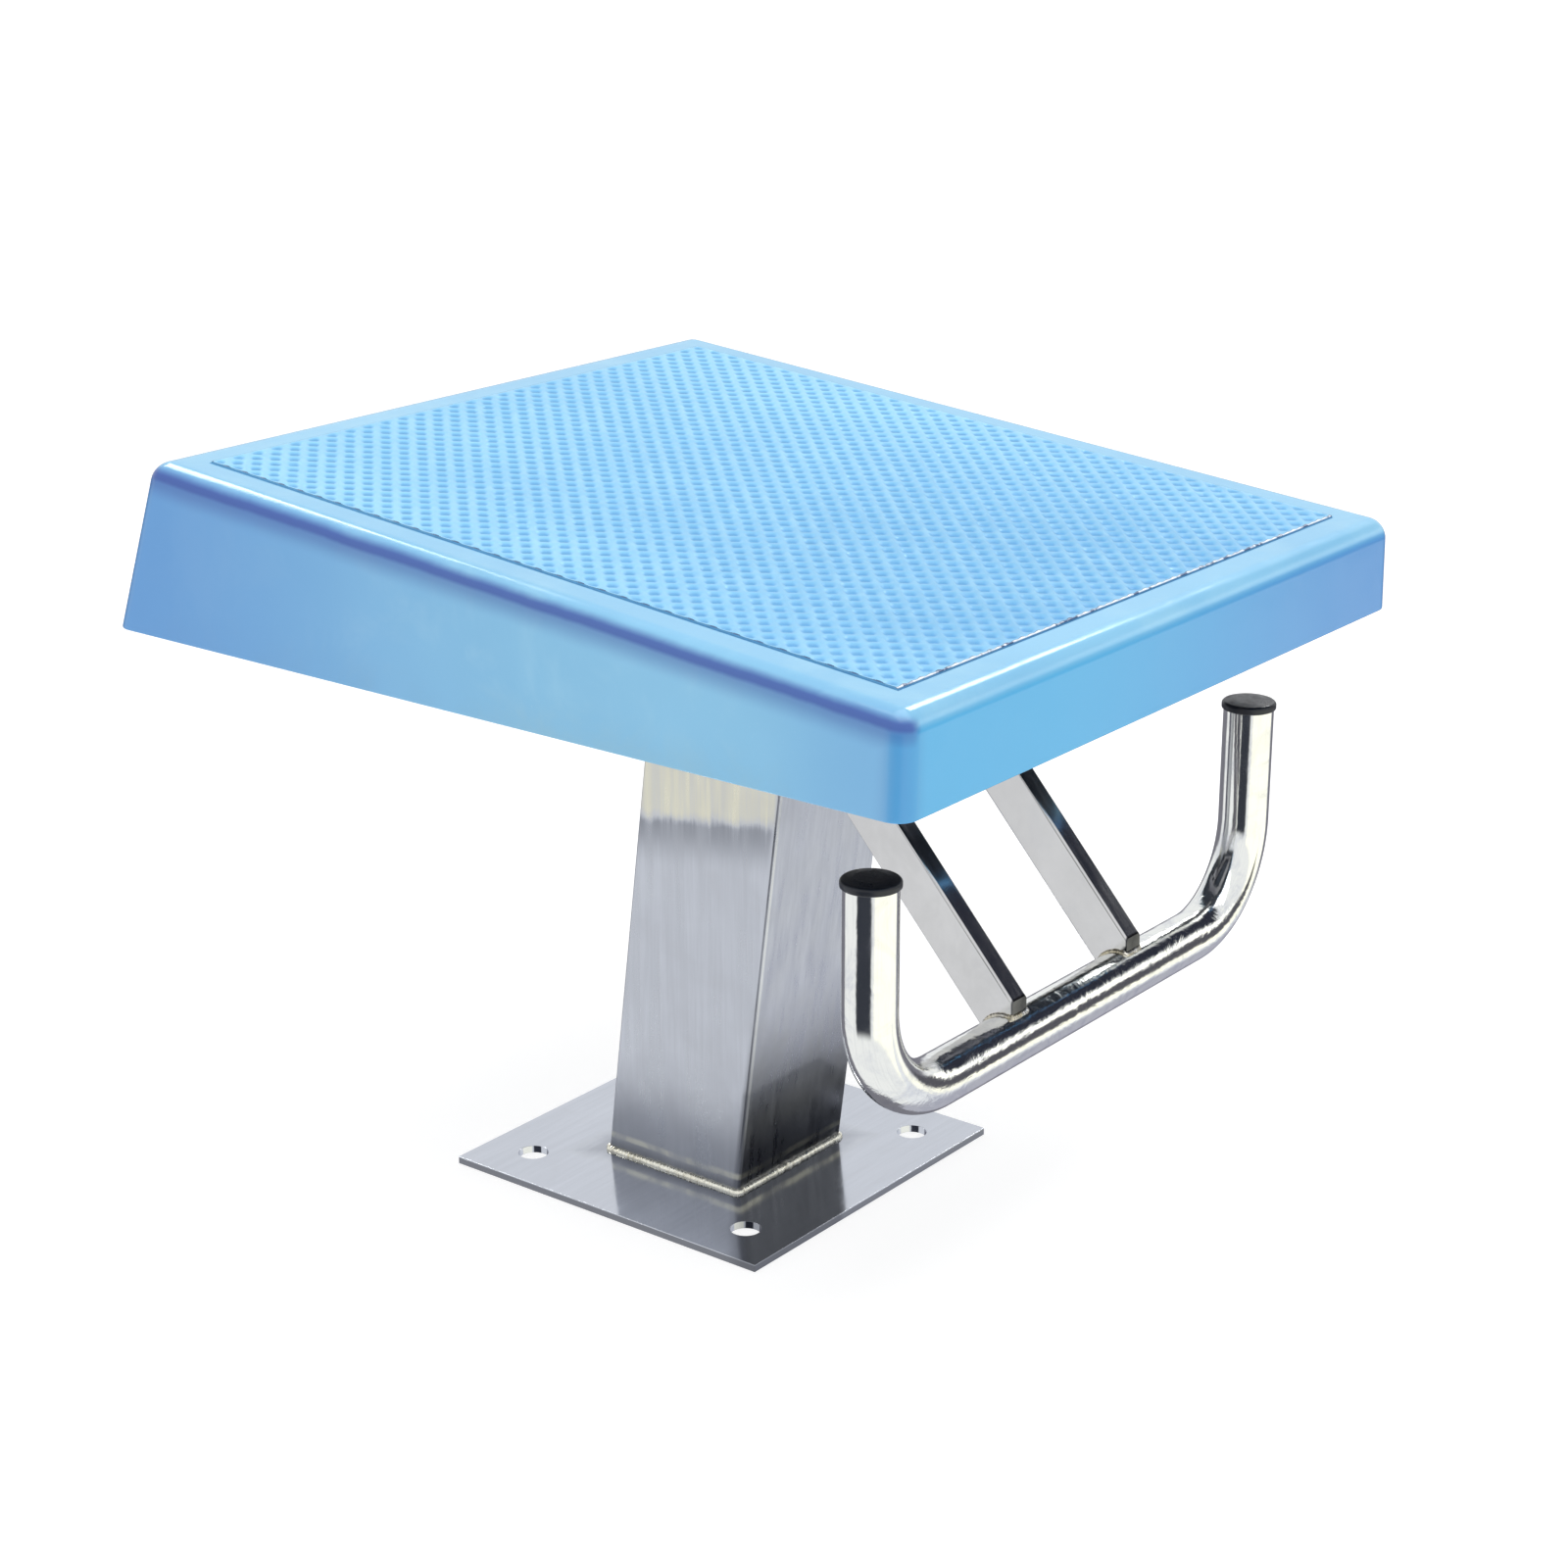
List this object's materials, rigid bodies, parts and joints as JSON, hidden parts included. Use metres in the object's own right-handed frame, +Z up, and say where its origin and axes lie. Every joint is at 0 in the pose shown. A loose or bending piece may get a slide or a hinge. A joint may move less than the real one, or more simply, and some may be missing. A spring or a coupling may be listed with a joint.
{
  "type": "pool starting block",
  "caption": "Pool starting block: sloping anti-slip platform shell on a leaning box post with a square base plate, and a U-shaped backstroke grip on two struts.",
  "frame": {"origin": "centre of the base plate's underside, on the pool deck", "axes": "+Z up, -Y towards the water, +X to the right seen from the water, square to the plane of symmetry"},
  "size_m": [0.525, 0.6005, 0.4833],
  "materials": {
    "base_steel": "satin",
    "post_steel": "satin",
    "strut_steel": "satin",
    "frame_steel": "satin",
    "grip_steel": "polished",
    "cap_plastic": "satin",
    "shell_gelcoat": "gloss",
    "anti_slip": "textured",
    "fastener_steel": "satin",
    "insert_brass": "satin"
  },
  "bodies": {
    "root": {"anti_slip_panel": "anti_slip", "base_plate": "base_steel", "frame_cross_front": "frame_steel", "frame_cross_mid_front": "frame_steel", "frame_cross_mid_rear": "frame_steel", "frame_cross_rear": "frame_steel", "frame_rail_left": "frame_steel", "frame_rail_right": "frame_steel", "handle_cap_left": "cap_plastic", "handle_cap_right": "cap_plastic", "handle_tube": "grip_steel", "head_bolt_1": "fastener_steel", "head_bolt_2": "fastener_steel", "head_bolt_3": "fastener_steel", "head_bolt_4": "fastener_steel", "head_nut_1": "fastener_steel", "head_nut_2": "fastener_steel", "head_nut_3": "fastener_steel", "head_nut_4": "fastener_steel", "head_plate": "frame_steel", "head_washer_bottom_1": "fastener_steel", "head_washer_bottom_2": "fastener_steel", "head_washer_bottom_3": "fastener_steel", "head_washer_bottom_4": "fastener_steel", "head_washer_top_1": "fastener_steel", "head_washer_top_2": "fastener_steel", "head_washer_top_3": "fastener_steel", "head_washer_top_4": "fastener_steel", "platform_shell": "shell_gelcoat", "post": "post_steel", "shell_bolt_1": "fastener_steel", "shell_bolt_2": "fastener_steel", "shell_bolt_3": "fastener_steel", "shell_bolt_4": "fastener_steel", "shell_bolt_5": "fastener_steel", "shell_bolt_6": "fastener_steel", "shell_insert_1": "insert_brass", "shell_insert_2": "insert_brass", "shell_insert_3": "insert_brass", "shell_insert_4": "insert_brass", "shell_insert_5": "insert_brass", "shell_insert_6": "insert_brass", "shell_washer_1": "fastener_steel", "shell_washer_2": "fastener_steel", "shell_washer_3": "fastener_steel", "shell_washer_4": "fastener_steel", "shell_washer_5": "fastener_steel", "shell_washer_6": "fastener_steel", "strut_left": "strut_steel", "strut_right": "strut_steel"}
  },
  "joints": []
}
